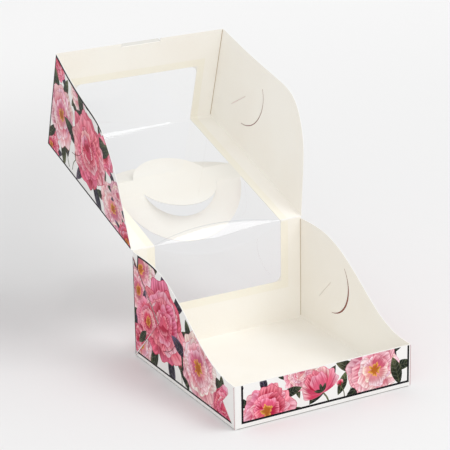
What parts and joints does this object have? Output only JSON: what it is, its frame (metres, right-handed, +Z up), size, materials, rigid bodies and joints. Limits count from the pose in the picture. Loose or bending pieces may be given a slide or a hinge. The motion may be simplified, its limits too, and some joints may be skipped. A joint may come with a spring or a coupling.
{
  "type": "bento cake box",
  "caption": "Folding bento cake box of board: low-fronted tray, deep lid hinged at the back wall, film window over back, top and front, folded-out carrying handle.",
  "frame": {"origin": "middle of the tray's underside", "axes": "+Z up, -Y towards the low front wall, +X to the right seen from the front"},
  "size_m": [0.1816, 0.3287, 0.2292],
  "materials": {
    "board_base": "coated board, printed outside, plain cream inside",
    "board_lid": "coated board, printed outside, plain cream inside",
    "window_film": "clear glossy film"
  },
  "bodies": {
    "base": {"carton_base": "board_base", "window_film_base": "window_film"},
    "lid": {"carton_lid": "board_lid", "window_film_lid": "window_film"}
  },
  "joints": [
    {"name": "lid_hinge", "type": "hinge", "parent": "base", "child": "lid", "pos_m": [0, 0.08375, 0.093], "axis": [1, 0, 0], "range_deg": [-45, 162.9]}
  ]
}
